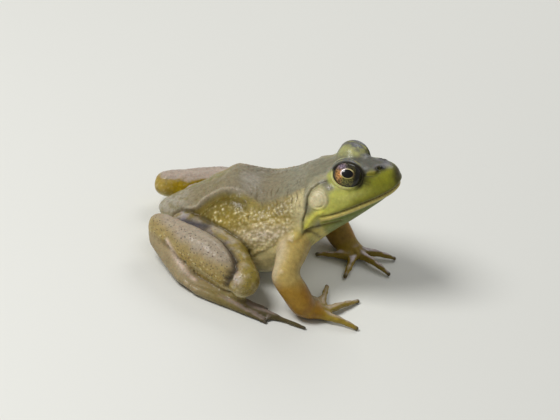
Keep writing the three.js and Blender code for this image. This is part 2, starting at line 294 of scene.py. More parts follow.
def keep_largest_shell(mesh):
    """Drops the small closed pockets that lie between the solids."""
    shape = bmesh.new()
    shape.from_mesh(mesh)
    unseen = set(shape.verts)
    shells = []
    while unseen:
        shell = [unseen.pop()]
        for vert in shell:
            for edge in vert.link_edges:
                other = edge.other_vert(vert)
                if other in unseen:
                    unseen.remove(other)
                    shell.append(other)
        shells.append(shell)
    shells.sort(key=len)
    for shell in shells[:-1]:
        bmesh.ops.delete(shape, geom=shell, context="VERTS")
    shape.to_mesh(mesh)
    shape.free()


def gathered(items, name, width, kind):
    """One property of all of a mesh's points, edges or triangles, a row for each."""
    values = np.empty(len(items) * width, kind)
    items.foreach_get(name, values)
    return values.reshape(-1, width)


class Surface:
    """A mesh's points and how they join, for moving many points at once."""

    def __init__(self, mesh):
        self.mesh = mesh
        mesh.calc_loop_triangles()
        self.points = gathered(mesh.vertices, "co", 3, np.float32).astype(float)
        self.edges = gathered(mesh.edges, "vertices", 2, np.int32)
        self.triangles = gathered(mesh.loop_triangles, "vertices", 3, np.int32)
        self.neighbours = np.bincount(self.edges.ravel(), minlength=len(self.points))

    def around(self, values):
        """The mean of each point's neighbours' values."""
        a, b = self.edges.T
        count = len(self.points)
        columns = values.reshape(count, -1).T
        sums = [np.bincount(a, c[b], count) + np.bincount(b, c[a], count) for c in columns]
        return (np.stack(sums, -1) / self.neighbours[:, None]).reshape(values.shape)

    def spread(self, values, passes, share=0.5):
        """The values after each pass has drawn them that share of the way to their neighbours' mean."""
        for _ in range(passes):
            values = values + share * (self.around(values) - values)
        return values

    def normals(self):
        a, b, c = (self.points[self.triangles[:, k]] for k in range(3))
        facing = np.cross(b - a, c - a)
        total = np.zeros_like(self.points)
        for k in range(3):
            for axis in range(3):
                total[:, axis] += np.bincount(self.triangles[:, k], facing[:, axis], len(self.points))
        return total / (np.linalg.norm(total, axis=1, keepdims=True) + 1e-12)

    def store(self):
        self.mesh.vertices.foreach_set("co", self.points.astype(np.float32).ravel())
        self.mesh.update()


def search_tree(nodes):
    """A search tree of some solids, about the vent, and which kind of part each of its faces is on."""
    corners, faces, owners = [], [], []
    for node in nodes:
        shape = solid_of(node)
        start = len(corners)
        corners += [vert.co - Vector(VENT) for vert in shape.verts]
        faces += [[start + vert.index for vert in face.verts] for face in shape.faces]
        owners += [KINDS.index(kind_of(node))] * len(shape.faces)
        shape.free()
    return BVHTree.FromPolygons(corners, faces), np.array(owners)


TREE, OWNERS = search_tree(NODES)
FAR = 9.0  # distances end here
MASSES = {
    "body": ("trunk", "head", "lower_jaw", "tympanum"),
    "thigh": ("thigh",),
    "shank": ("shank",),
    "lower_leg": ("tarsus", "foot"),
    "upper_arm": ("upper_arm",),
    "forearm": ("forearm", "hand"),
}


def kinds_at(points):
    """The kind of part that each point is nearest to."""
    return OWNERS[[TREE.find_nearest(Vector(p))[2] for p in points]]


def reach_to(points, mass):
    """How far each point is from a mass of flesh, or FAR."""
    tree, _ = search_tree([n for n in NODES if kind_of(n) in MASSES[mass]])
    found = (tree.find_nearest(Vector(p), FAR)[3] for p in points)
    return np.array([FAR if far is None else far for far in found])


def round_off(surface, kinds):
    """Takes the facets off, each part by its own amount, and keeps its bulk."""
    passes = surface.spread(np.array(list(ROUNDING.values()), float)[kinds], 8)
    before = surface.points.copy()
    for k in range(max(ROUNDING.values())):
        share = 0.5 * np.clip(passes - k, 0, 1)
        surface.points += share[:, None] * (surface.around(surface.points) - surface.points)
    surface.points += surface.spread(before - surface.points, 30)
    surface.points -= surface.normals() * SWELL


def refine(mesh, chosen):
    """Halves the faces whose corners are all chosen."""
    shape = bmesh.new()
    shape.from_mesh(mesh)
    shape.verts.ensure_lookup_table()
    edges = [edge for edge in shape.edges if chosen[edge.verts[0].index] and chosen[edge.verts[1].index]]
    bmesh.ops.subdivide_edges(shape, edges=edges, cuts=1, use_grid_fill=True)
    shape.to_mesh(mesh)
    shape.free()


# ---------- sculpting: heights in millimetres ----------
def line_distance(points, line):
    """Distance from a line through corners, and which side: plus is to the left of its way, seen flat."""
    best = np.full(len(points), 1e9)
    side = np.ones(len(points))
    for a, b in zip(np.array(line[:-1], float), np.array(line[1:], float)):
        along = b - a
        share = np.clip((points - a) @ along / (along @ along), 0, 1)
        apart = points - (a + share[:, None] * along)
        far = np.linalg.norm(apart, axis=1)
        nearer = far < best
        best = np.where(nearer, far, best)
        turn = along[0] * apart[:, -1] - along[-1] * apart[:, 0]
        side = np.where(nearer, np.sign(turn), side)
    return best, side


def near_line(points, line, width):
    """1 on a line, fading out over width."""
    return bump(line_distance(points, line)[0], width)


def one_sided(points):
    """The same points with the left side folded on to the right, so that both get the same features."""
    return np.stack([points[:, 0], np.abs(points[:, 1]), points[:, 2]], -1)


def granules(points, spacing, seed=0.0):
    """Domes about spacing apart, 0 to 1 high, each with its own height."""
    heights = np.empty(len(points))
    for k, p in enumerate(points / spacing + seed):
        far, spots = noise.voronoi(Vector(p))
        own = 0.55 + 0.45 * noise.cell(spots[0] * 3.1)
        heights[k] = own * max(0.0, 1 - (far[0] / 0.52) ** 2)
    return heights


def clouds(points, size, seed=0.0):
    """Smooth noise from about -1 to 1, in lumps of about that size."""
    return np.array([noise.fractal(Vector(p), 0.8, 2.0, 2) for p in points / size + seed])


# Lines on the head and trunk in the body's own directions: along, out from the middle, up. A pair leaves out
# the middle one. The last three are on the leg, about the vent.
MOUTH_X = (56.6, 60, 64.2, 67.5, 70.9, 73.8, 76.9, 80, 82.2, 83.4)
MOUTH_Z = (-2.7, -2.9, -2.4, -1.9, -1.4, -1.1, -0.8, -0.3, 0.4, 1.0)
EAR_FOLD = [(61.6, 7.6), (60.2, 7.3), (57.8, 6.9), (55.4, 5.9), (54.1, 4.2)]
EAR_FOLD += [(53.7, 2.0), (53.0, -0.4), (51.7, -3), (50.8, -7)]
JAW_CREASE = [(63.5, -6.3), (59.2, -6.4), (55.1, -6.7), (52.2, -6.9), (51.2, -8)]
LIP_FOLD = [(58.4, -1.0), (56.2, -2.0), (54.3, -3.4), (52.4, -5.6)]
THROAT_FOLD = [(53.6, 16.5, -6.4), (55, 15, -8.4), (56.4, 13.2, -10.6)]
NECK_FOLD = [(51.4, -7.4), (53.4, -8.2), (54.6, -10), (55, -12.4)]
NECK_HOLLOW = (52.2, -7.7)
COLLAR = (49, -7.0)
COLLAR_EDGE = [(46.6, -8.2), (48.6, -8.9), (50.6, -8.6)]
CANTHUS = [(73.1, 7.8, 6.6), (74.2, 7.3, 6.5), (75.1, 6.8, 6.5), (76.1, 6.2, 6.5), (76.9, 5.2, 6.9)]
SNOUT_RIDGE = [(72.9, 7.0, 7.1), (74.3, 6.4, 7.1), (75.3, 5.7, 7.1), (76.2, 5.0, 7.2)]
NOSTRIL = (77.3, 3.6, 7.6)
NOSTRIL_SLOT = [(76.7, 4.0, 7.5), (78.2, 3.1, 7.5)]
HIP_RIDGE = [(8.8, 7.1, 0.1), (12, 8.4, 0.7), (14.5, 8.8, 1.6), (17.2, 7.6, 3.7), (20.4, 6.9, 5.1)]
HIP_RIDGE += [(23.1, 7.1, 6.2), (25.9, 8, 6.9), (28.5, 8.5, 6.9), (30.6, 8.9, 6), (33.4, 9.6, 4.3)]
HIP_RIDGE += [(36.6, 9.9, 3.3), (40.1, 10, 3), (43.5, 9.5, 3.6), (47.2, 9.4, 4.6), (51.1, 10.6, 5.6)]
ARMPIT_EDGE = [(32.5, 19, -12.5), (36, 19, -11), (41, 18.6, -9), (46.6, 18.5, -7.2)]
FLANK_CREASE = [(30, 17.6, -2.6), (37.7, 17, -1.5), (43, 16.4, -0.6)]
KNEE_SHEEN = [(29.5, -31.5, 15.6), (31.3, -34.6, 14.2), (32.2, -36, 12.2)]
TARSUS_RIDGE = [(6.4, -23, 11.8), (10.9, -26.3, 8.3), (15.2, -29.2, 6), (19, -30.2, 4.8)]
HIP_SHADE = [(9.5, -12.8, 14.6), (13.6, -14.6, 16), (17.5, -15.6, 17)]


def from_mouth(body):
    return body[:, 2] - np.interp(body[:, 0], MOUTH_X, MOUTH_Z)


def head_relief(body):
    """Lips, the fold over the ear drum, the drum's rim, nostrils and the ridge before the eye."""
    side_on = body[:, [0, 2]]
    folded = one_sided(body)
    outer = ramp(folded[:, 1], 6, 8)
    mouth = from_mouth(body)
    height = 0.32 * bump(mouth - 1.0, 0.8) - 0.65 * bump(mouth, 0.3)
    height += 0.3 * bump(mouth + 1.0, 0.75) - 0.2 * bump(mouth + 2.3, 0.5)
    height *= ramp(body[:, 0], 56.8, 58.4)

    fold, side = line_distance(side_on, EAR_FOLD)
    below_fold = ramp(body[:, 2], -9, -6)
    height += outer * below_fold * (0.4 * bump(-fold * side - 0.8, 0.6) - 0.5 * bump(fold, 0.3))

    drum = np.hypot(body[:, 0] - DRUM_IN_BODY[0], body[:, 2] - DRUM_IN_BODY[1])
    rim = drum - DRUM_RADIUS
    height += outer * (0.26 * bump(rim, 0.28) - 0.26 * bump(rim + 0.6, 0.35) - 0.16 * bump(rim - 0.6, 0.35))
    height += outer * 0.12 * (bump(drum, 0.9) + fall(drum, 2.2, 2.8) * clouds(body, 0.9, 2.2))

    height -= outer * 0.6 * near_line(side_on, JAW_CREASE, 0.42)
    height += outer * 0.6 * near_line(side_on, LIP_FOLD, 0.8)
    height -= 0.5 * near_line(folded, THROAT_FOLD, 0.5)
    height += 0.3 * near_line(folded, SNOUT_RIDGE, 0.5) - 0.5 * near_line(folded, CANTHUS, 0.5)
    nostril = from_point(folded, NOSTRIL)
    height += 0.3 * bump(nostril - 1.0, 0.4) - 1.1 * bump(nostril, 0.55)
    return height - outer * 0.4 * bump(body[:, 0] - 71.5, 5) * bump(body[:, 2] - 3.0, 1.6)


def hip_sides(body):
    """Distance out and down from the ridge over the hip, minus above it."""
    folded = one_sided(body)
    apart, _ = line_distance(folded, HIP_RIDGE)
    ridge = np.array(HIP_RIDGE)
    out = folded[:, 1] - np.interp(body[:, 0], ridge[:, 0], ridge[:, 1])
    up = body[:, 2] - np.interp(body[:, 0], ridge[:, 0], ridge[:, 2])
    return apart * np.sign(out - up)


CREASE_SPACING = 1.5


def creases(body):
    """The fine upright creases over the shoulder and upper flank, -1 in them and 1 between."""
    x, out, z = body[:, 0], np.abs(body[:, 1]), body[:, 2]
    share = ramp(x, 26, 32) * fall(x, 50, 53) * ramp(z, -3.5, 0) * ramp(out, 3, 6)
    wander = clouds(body, 6, 5.5)
    wave = np.sin(2 * math.pi * (x + 0.35 * z + 1.5 * wander) / CREASE_SPACING)
    return share * (1 - 2 * (0.5 - 0.5 * wave) ** 3) * ramp(clouds(body, 3, 8.8), -0.5, 0.4)


def trunk_relief(body, below_hip):
    """The hip's ridge over the hollow flank, the ridge and dip along the back, and the flank's creases."""
    folded = one_sided(body)
    x, out = folded[:, 0], folded[:, 1]
    hip = ramp(x, 7, 11) * fall(x, 25, 33)
    height = hip * (0.75 * bump(below_hip + 0.1, 0.6) - 1.4 * bump(below_hip - 2.1, 1.4))
    height += 0.12 * bump(out, 0.7) * ramp(x, 4, 8) * fall(x, 18, 24)
    height -= 0.35 * bump(x - 26.5, 3) * bump(out, 4)
    height += 0.3 * near_line(folded, ARMPIT_EDGE, 0.7) - 0.28 * near_line(folded, FLANK_CREASE, 0.6)
    return height + 0.15 * creases(body)


def collar_folds(body):
    """How near each point is to the bulge over the arm, to its edge, and to the neck's hollow and fold."""
    flat = body[:, [0, 2]]
    shown = ramp(np.abs(body[:, 1]), 8, 11)
    bulge = bump(from_point(flat, COLLAR), 1.8)
    hollow = bump(from_point(flat, NECK_HOLLOW), 1.2)
    edge, fold = near_line(flat, COLLAR_EDGE, 0.55), near_line(flat, NECK_FOLD, 0.5)
    return [shown * share for share in (bulge, edge, hollow, fold)]


def collar_relief(body):
    bulge, edge, hollow, fold = collar_folds(body)
    return 0.55 * bulge - 0.35 * edge - 0.5 * hollow - 0.35 * fold


def digit_relief(points):
    """Knuckles, pads and the furrows between neighbouring fingers and toes."""
    height = np.zeros(len(points))
    nearest = np.full(len(points), FAR)
    second = np.full(len(points), FAR)
    for base, tip in digits():
        base, tip = np.array(base), np.array(tip)
        along = tip - base
        length = np.linalg.norm(along)
        share = np.clip((points - base) @ along / length**2, 0, 1)
        far = from_point(points, base + share[:, None] * along)
        place = share * length
        own = 0.1 * sum(bump(place - at * length, 0.75) for at in (0.36, 0.66))
        own += 0.14 * bump(length - place - 0.2, 0.8) - 0.06 * bump(place - 0.52 * length, 1.4)
        height = np.where(far < nearest, own * ramp(share, 0.12, 0.25), height)
        second = np.where(far < nearest, nearest, np.minimum(second, far))
        nearest = np.minimum(nearest, far)
    height -= 0.5 * bump(second - nearest, 0.45) * fall(nearest, 1.6, 2.8)
    return height


def round_tips(points):
    """Draws the ends of the fingers and toes in to small balls."""
    for base, tip in digits():
        along = np.array((tip - base).normalized())
        away = points - (np.array(tip) - along * TIP_ROUND)
        far = np.linalg.norm(away, axis=1)
        past = (away @ along > 0) & (far > TIP_ROUND) & (far < 3)
        points[past] -= away[past] * (1 - TIP_ROUND / far[past])[:, None]


LEG_SHIFT = (2.7, -0.8, 1.1)  # from the left leg, mirrored, to the right one


def as_right_leg(points):
    """Takes points on the left leg to the same places on the right leg."""
    left = points[:, 1] > 0
    moved = points * (1, -1, 1) + LEG_SHIFT
    return np.where(left[:, None], moved, points)


# ---------- eyelids ----------
def head_direction(x, y, z):
    """A direction in the head's own frame, as one in the floor's."""
    head_at = EYE_IN_BODY[0]
    away = body_to_vent(head_at + x, y, z) - body_to_vent(head_at, 0, 0)
    return away / np.linalg.norm(away)


class Eye:
    """The place of one eyeball, the way it looks, and how far a point lies from the edge of its lids."""

    GAZE = (0.29, 0.86, 0.52)  # ahead, out and up from the head
    TURN = (1, 0, -0.25)  # the iris's long way
    TOP, LOW, REAR, FRONT = (math.radians(angle) for angle in (47, 54, 65, 78))  # how far the lids open

    def __init__(self, name, side):
        self.name = name
        self.side = side
        self.middle = middle_of(f"eye_{name}") - VENT
        ahead, out, up = self.GAZE
        self.out = head_direction(ahead, side * out, up)
        forward = head_direction(*self.TURN)
        forward = forward - self.out * (forward @ self.out)
        self.ahead = forward / np.linalg.norm(forward)
        self.up = np.cross(self.out, self.ahead) * -side

    def seen_from(self, points):
        """Each point's distance from the middle, its arc outside the lids' edge, and its way round."""
        apart = points - self.middle
        far = np.linalg.norm(apart, axis=1)
        toward = apart / (far[:, None] + 1e-9)
        angle = np.arccos(np.clip(toward @ self.out, -1, 1))
        turn = np.arctan2(toward @ self.up, toward @ self.ahead)
        across, rise = np.cos(turn), np.sin(turn)
        tall = np.where(rise > 0, self.TOP, self.LOW)
        wide = np.where(across > 0, self.FRONT, self.REAR)
        edge = 1 / np.sqrt((across / wide) ** 2 + (rise / tall) ** 2)
        return far, (angle - edge) * EYE_RADIUS, across, rise


EYES = [Eye("left", LEFT), Eye("right", RIGHT)]
UPPER_LID = 1.7  # how wide the upper lid's band is
LID_THICKNESS = 0.36


def fit_lids(points):
    """Draws the skin over each eyeball as lids, and takes it inside the ball within their edge."""
    for eye in EYES:
        far, outside, _, rise = eye.seen_from(points)
        upper = ramp(rise, -0.1, 0.35)
        near = (far < EYE_RADIUS + 4) & (outside < 6)
        lid = EYE_RADIUS + LID_THICKNESS
        lid = lid + upper * 0.15 * (bump(outside - 0.8, 0.7) - bump(outside - UPPER_LID - 0.2, 0.4))
        lid += (1 - upper) * (0.12 * bump(outside - 0.4, 0.35) - 0.2 * bump(outside - 1.3, 0.4))
        settle = ramp(outside, 0.3, 2.2)
        over = np.maximum(far - lid, 0)
        under = np.minimum(far - lid, 0)
        wanted = lid + over * settle + under * ramp(outside, 2.5, 5)
        within = ramp(-outside, -0.1, 0.3)
        wanted = wanted * (1 - within) + (EYE_RADIUS - 1.0) * within
        scale = np.where(near, wanted / (far + 1e-9), 1)
        points[:] = eye.middle + (points - eye.middle) * scale[:, None]


# ---------- building the skin ----------
def fine_parts(surface, kinds):
    """Where the skin needs small faces: all that shows from the sides and above, and the digits."""
    body = vent_to_body(surface.points)
    facing = surface.normals()
    outer = facing[:, 1] * np.sign(surface.points[:, 1])
    shown = (facing[:, 2] > 0.1) | (outer > 0.75)
    shown &= ~np.isin(kinds, [KINDS.index(n) for n in ("tarsus", "forearm", "upper_arm")])
    head = (body[:, 0] > 52) & (body[:, 2] > -7) & (surface.points[:, 2] > 24)
    return shown | head | (kinds == KINDS.index("finger"))


ANKLE_END = 24  # the foot is as round as the head up to here, and keeps its toes beyond


def make_skin():
    """The wrapped flesh, rounded off, with faces half the size where fine lines are."""
    mesh = wrapped_flesh()
    keep_largest_shell(mesh)
    surface = Surface(mesh)
    surface.points -= VENT
    kinds = kinds_at(surface.points)
    ankle = (kinds == KINDS.index("foot")) & (as_right_leg(surface.points)[:, 0] < ANKLE_END)
    round_off(surface, np.where(ankle, KINDS.index("head"), kinds))
    surface.store()
    refine(mesh, fine_parts(surface, kinds))
    surface = Surface(mesh)
    at = vent_to_body(surface.points)
    fold, _ = line_distance(at[:, [0, 2]], EAR_FOLD[1:8])
    stripe, _ = line_distance(one_sided(at), [*CANTHUS, NOSTRIL])
    lines = ((fold < 0.6) & (np.abs(at[:, 1]) > 9)) | (stripe < 1.5)  # where the finest lines will run
    for eye in EYES:
        far, outside, _, _ = eye.seen_from(surface.points)
        lines |= (np.abs(outside - 0.6) < 1.4) & (far < EYE_RADIUS + 1.5)
    refine(mesh, lines)
    surface = Surface(mesh)
    surface.points = surface.spread(surface.points, 3, 0.4)
    return mesh, surface, kinds_at(surface.points)


skin_mesh, surface, kinds = make_skin()
body = vent_to_body(surface.points)
normals = surface.normals()
reach = {mass: reach_to(surface.points, mass) for mass in MASSES}


def part_share(*names, passes=5):
    """1 on the named parts, 0 elsewhere, softened over their edges."""
    return surface.spread(np.isin(kinds, [KINDS.index(n) for n in names]).astype(float), passes)


def seam(first, second, width):
    """1 along the line where two masses of flesh lie against each other."""
    a, b = reach[first], reach[second]
    return bump(a - b, width) * fall(a + b, 4, 7)


def nearer_of(limbs, joint):
    """How far each point is from a joint of the limbs, on the side where that is less."""
    return np.minimum(*(from_point(surface.points, limb[joint]) for limb in limbs.values()))


on = {name: part_share(name) for name in ("trunk", "upper_arm", "forearm", "thigh", "shank", "tarsus")}
on["head"] = part_share("head", "lower_jaw", "tympanum", "eye")
on["hand"] = part_share("hand", "finger", passes=3)
on["foot"] = part_share("foot", passes=3)
up_facing = normals[:, 2]
below_hip = hip_sides(body)
armpit_distance, armpit_side = line_distance(body[:, [0, 2]], [(p[0], p[2]) for p in ARMPIT_EDGE])
armpit = ramp(-armpit_distance * armpit_side, 0, 1) * ramp(body[:, 0], 33, 36) * on["trunk"]
flank = on["trunk"] * ramp(np.abs(body[:, 1]), 4, 8) * ramp(body[:, 2], -20, -12) * ramp(below_hip, 0.5, 3.5)
flank *= (1 - armpit) * fall(body[:, 0], 47, 51) * fall(up_facing, 0.75, 0.92)
back = np.clip(on["trunk"] * (1 - flank) * ramp(up_facing, 0.1, 0.5), 0, 1)
leg_points = as_right_leg(surface.points)
low_on_leg = surface.points[:, 2]
from_heel = nearer_of(FEET, "heel")

grains = granules(surface.points, 1.15)
fine_grains = granules(surface.points, 0.9, 7.3)


def calm_down(share, passes):
    """Smooths the skin where share is near 1."""
    calm = surface.spread(surface.points, passes, 0.5)
    surface.points += (calm - surface.points) * share[:, None]


def sculpt():
    """Moves the skin in and out by all its folds, furrows and granules."""
    height = head_relief(body) * ramp(body[:, 0], 48, 51)
    height += trunk_relief(body, below_hip) * on["trunk"] + collar_relief(body)
    at_knee, past_heel = ramp(low_on_leg, 7, 11), ramp(from_heel, 5, 10)
    height -= at_knee * (1.2 * seam("thigh", "shank", 0.6) + 0.7 * seam("thigh", "shank", 2.2))
    height -= past_heel * (0.7 * seam("shank", "lower_leg", 0.5) + 0.4 * seam("shank", "lower_leg", 1.6))
    height -= 0.6 * seam("body", "thigh", 0.6) + 0.4 * seam("body", "thigh", 2)
    height -= 0.35 * seam("body", "upper_arm", 1.0)
    height += 0.7 * near_line(leg_points, TARSUS_RIDGE, 0.8) * (on["tarsus"] + on["shank"] + on["foot"])
    height += digit_relief(surface.points) * (on["hand"] + on["foot"])

    uneven = grains * ramp(clouds(surface.points, 5), -0.3, 0.4)
    height += flank * (0.3 * grains + 0.14 * fine_grains)
    height += (back + 0.06 * on["head"]) * (0.14 * uneven + 0.07 * fine_grains)
    height += (on["shank"] + on["thigh"]) * (0.13 * grains + 0.12 * fine_grains)
    height += (on["upper_arm"] + on["forearm"] + on["foot"]) * 0.03 * fine_grains
    lumpy = on["trunk"] + on["thigh"] + on["shank"] + 0.6 * (on["forearm"] + on["upper_arm"])
    height += lumpy * 0.15 * clouds(surface.points, 4.5, 3.1)

    outward = surface.spread(normals, 4)
    outward /= np.linalg.norm(outward, axis=1)[:, None]
    surface.points += outward * surface.spread(height, 1, 0.3)[:, None]
    calm_down(0.95 * seam("shank", "lower_leg", 2.2), 8)
    fit_lids(surface.points)
    for eye in EYES:
        far, outside, _, _ = eye.seen_from(surface.points)
        calm_down((far < EYE_RADIUS + 4) * ramp(outside, 1.4, 2.2) * fall(outside, 4, 6), 3)
    round_tips(surface.points)
    surface.points[surface.points[:, 2] < 0, 2] = 0


sculpt()
body = vent_to_body(surface.points)


# ---------- colours ----------
def linear(code):
    """A hex sRGB colour as linear light."""
    parts = np.array([int(code[k : k + 2], 16) / 255 for k in (1, 3, 5)])
    return np.where(parts <= 0.04045, parts / 12.92, ((parts + 0.055) / 1.055) ** 2.4)


def painted(tone, coats):
    """Lays coats of colour over a tone, one after the other, each where its share is near 1."""
    for code, share in coats:
        share = np.clip(share, 0, 1)[:, None]
        tone = tone * (1 - share) + linear(code) * share
    return tone


normals = surface.normals()
up_facing = normals[:, 2]
out_facing = normals[:, 1] * np.sign(surface.points[:, 1])
below_hip = hip_sides(body)
drift = clouds(surface.points, 6, 1.7)
patches = clouds(surface.points, 2.6, 9.1)
x, across, z = body[:, 0], np.abs(body[:, 1]), body[:, 2]
mouth = from_mouth(body)
far_side = ramp(surface.points[:, 1], 8, 12)


def trunk_coats():
    """Olive-brown back, golden flanks with pale granules, cream belly, and painted shade, highlights and
    glints.
    """
    trunk = on["trunk"]
    yield "#80775f", trunk
    yield "#9a9484", trunk * fall(x, 6, 14)
    yield "#7a7152", trunk * 0.7 * ramp(patches, 0, 0.5) * fall(x, 30, 45)
    yield "#787264", trunk * 0.6 * bump(x - 33, 7)
    yield "#807c68", trunk * ramp(x + 2 * drift, 38, 48)
    yield "#7d7644", trunk * 0.6 * ramp(surface.points[:, 1], 0.4, 1.4) * fall(x, 20, 28)
    blend = ramp(x, 28, 36)
    side = trunk * ramp(below_hip + 1.2 * drift, 0.3 - 1.3 * blend, 2.2 + 1.6 * blend) * ramp(across, 5, 9)
    yield "#80733f", side
    high = 3 - 0.25 * np.maximum(x - 36, 0)
    yield "#8b8064", side * ramp(x, 36, 44) * ramp(z + 2 * drift, high - 4, high + 1)
    yield "#9c8a4e", side * ramp(high - z + 2 * drift, -1, 4)
    yield "#bcae80", side * ramp(-2.5 - z + 2 * drift, 0, 5)
    # painted highlight: pinkish white, low on the flank behind the arm
    yield "#e2d4c2", side * 0.8 * bump(x - 38, 9) * bump(z + 5.5, 3)
    yield "#b7ac84", side * ramp(x, 45, 50)
    # painted shade: the hollow under the hip's ridge is darkened where shade falls in it
    hollow_at = np.interp(x, (12, 18, 24, 30), (4.2, 4, 3.6, 4.2))
    hollow_wide = np.interp(x, (12, 18, 24, 30), (3.4, 3.2, 2.8, 2.6))
    hollow = ramp(x, 7, 12) * fall(x, 30, 35) * bump(below_hip - hollow_at, hollow_wide)
    # where the granules get their pale tips and painted glints: less in the shaded hollow and high at the
    # front
    tips_and_glints = flank * (1 - 0.75 * hollow) * (1 - 0.5 * ramp(x, 30, 36) * ramp(z + drift, -1, 2.5))
    yield "#786829", flank * 0.65 * fall(np.maximum(grains, fine_grains), 0.02, 0.25)
    yield "#453910", trunk * 0.68 * hollow * ramp(below_hip, 0.5, 1.5)
    yield "#d6c993", tips_and_glints * 0.7 * ramp(grains, 0.3, 0.65)
    # painted glints on the granules' cores, more of them low on the flank
    yield "#f0e8c8", tips_and_glints * 0.8 * ramp(grains, 0.6, 0.85)
    yield "#eadfc0", tips_and_glints * 0.75 * ramp(fine_grains, 0.4, 0.65) * (0.45 + 0.55 * ramp(1 - z, 0, 5))
    # painted highlight along the hip's ridge
    yield "#c2b6a4", trunk * 0.4 * ramp(x, 7, 12) * fall(x, 27, 35) * bump(below_hip + 0.3, 0.7)
    # painted shade in the flank's creases
    yield "#54482c", trunk * 0.9 * np.clip(-creases(body), 0, 1)
    yield "#d9cc98", armpit
    yield "#d3ccaa", trunk * ramp(-up_facing, 0.25, 0.8)


def leg_coats():
    """Grey-brown above and gold below; painted shade on the thigh under the shank and in the clefts, painted
    highlights.
    """
    thigh, shank, foot = on["thigh"], on["shank"], on["foot"]
    lower_leg = on["tarsus"] + foot
    along = leg_points[:, 0]
    off_shank = reach["shank"]
    level = low_on_leg + 1.2 * drift
    yield "#8d7e4c", thigh
    yield "#a59c8c", thigh * 0.8 * bump(off_shank - 3.4, 1.4) * ramp(patches, -0.5, 0.2)
    yield "#a39c9c", thigh * ramp(patches, -0.3, 0.4) * fall(along, 8, 16)
    # painted shade on the thigh where the shank lies against it near the hip
    yield "#5d5862", thigh * 0.9 * bump(off_shank, 2.6) * fall(along, 14, 24)
    # lilac mottles beside the shank: partly the skin's own, partly a painted sheen
    yield "#77708a", thigh * 0.6 * bump(off_shank - 1, 1.2) * ramp(patches, 0.1, 0.5)
    mottled = ramp(patches, -0.2, 0.25) * ramp(low_on_leg, 5, 9)
    yield "#b1a388", thigh * 0.5 * mottled * (0.4 + 0.6 * ramp(fine_grains, 0.2, 0.6))
    yield "#82733a", thigh * ramp(along, 28, 33) * (1 - 0.6 * mottled)
    yield "#9b8750", shank
    yield "#95845a", shank * ramp(level, 9, 13)
    yield "#9a8e7c", shank * ramp(level, 13, 16.5)
    yield "#6e5c2c", shank * 0.5 * ramp(11 - level, 0, 4) * ramp(patches, 0, 0.5)
    beaded = ramp(14 - level, 0, 4) * ramp(fine_grains, 0.35, 0.65)
    yield "#e0d4a8", (shank + 0.4 * thigh) * 0.85 * beaded
    yield "#8f8164", lower_leg
    yield "#75683f", lower_leg * ramp(along, 16, 30)
    # darker towards the toes: their own dark brown, deepened as painted shade
    yield "#4a4126", lower_leg * ramp(along, 28, 46)
    # painted highlight on the tops of the toes
    yield "#9a8c86", foot * 0.6 * ramp(up_facing, 0.75, 0.95) * ramp(along, 26, 32) * fall(along, 44, 54)
    # painted highlight along the tarsus ridge
    yield "#cfbcae", (lower_leg + shank) * 0.8 * near_line(leg_points, TARSUS_RIDGE, 0.8)
    yield "#8d7b4c", thigh * bump(off_shank - 0.5, 1.6) * ramp(along, 27, 33)
    # painted highlight on the knee
    on_knee = near_line(leg_points, KNEE_SHEEN, 1.8)
    yield "#cabfc0", thigh * 0.75 * on_knee * (0.4 + 0.6 * ramp(fine_grains, 0.1, 0.5))
    # painted shade in the clefts between thigh and shank, trunk and thigh, and shank and tarsus
    yield "#281f1a", 0.95 * seam("thigh", "shank", 0.9) * ramp(low_on_leg, 6, 9)
    yield "#443a1f", 0.85 * seam("body", "thigh", 0.8)
    yield "#37353a", 0.85 * thigh * near_line(leg_points, HIP_SHADE, 1.6)
    yield "#4a3b22", 0.8 * seam("shank", "lower_leg", 0.6) * ramp(from_heel, 5, 9)
    inner_face = ramp(-out_facing, -0.1, 0.4) * fall(up_facing, 0.5, 0.8) * (0.45 + 0.55 * ramp(along, 1, 6))
    yield "#967e1c", (thigh + shank + lower_leg) * 0.85 * inner_face
    yield "#a5978a", (thigh + shank) * far_side * ramp(up_facing, 0.6, 0.85)
    yield "#d0c7a4", (thigh + shank) * ramp(-up_facing, 0.3, 0.8)


def arm_coats():
    """Tan upper arms, orange-brown forearms and darker hands, with painted reflection, shade and highlights.
    """
    hand = on["hand"]
    both = np.clip(on["upper_arm"] + on["forearm"], 0, 1)
    level = surface.points[:, 2] + 1.5 * drift
    ahead = normals[:, 0]
    yield "#a8935c", both
    yield "#967430", both * ramp(16.5 - level, 0, 5)
    yield "#8a682a", both * ramp(9 - level, 0, 5)
    # painted reflection: a broad pale band on the upper arms' rear faces
    yield "#bcae92", both * 0.8 * ramp(-ahead, 0.15, 0.75) * ramp(level, 9, 14)
    # darker rust on the forward faces: partly the arm's own rust, partly painted shade
    yield "#8a5f2a", both * 0.6 * ramp(ahead, 0.3, 0.9) * ramp(16 - level, 0, 4)
    from_wrist = nearer_of(HANDS, "wrist")
    yield "#8a7634", hand
    yield "#8f6a26", hand * fall(from_wrist + drift, 4, 9)
    # the forearms' inner faces darker, partly as painted shade
    yield "#6b5b2c", on["forearm"] * 0.6 * ramp(-out_facing, -0.1, 0.5)
    # the far hand olive-gold, and darker as painted shade from the head
    yield "#7c6c2c", hand * 0.7 * far_side
    # painted highlights on the tops of the fingers, strongest on the far hand
    yield "#b0a4aa", hand * (0.3 + 0.5 * far_side) * ramp(up_facing, 0.84, 0.97)


def tip_coats():
    """Fingers and toes darken to slate at their tips."""
    for _, tip in digits():
        far = from_point(surface.points, np.array(tip))
        yield "#46423a", 0.75 * fall(far, 0.6, 2.2) * (on["hand"] + on["foot"])


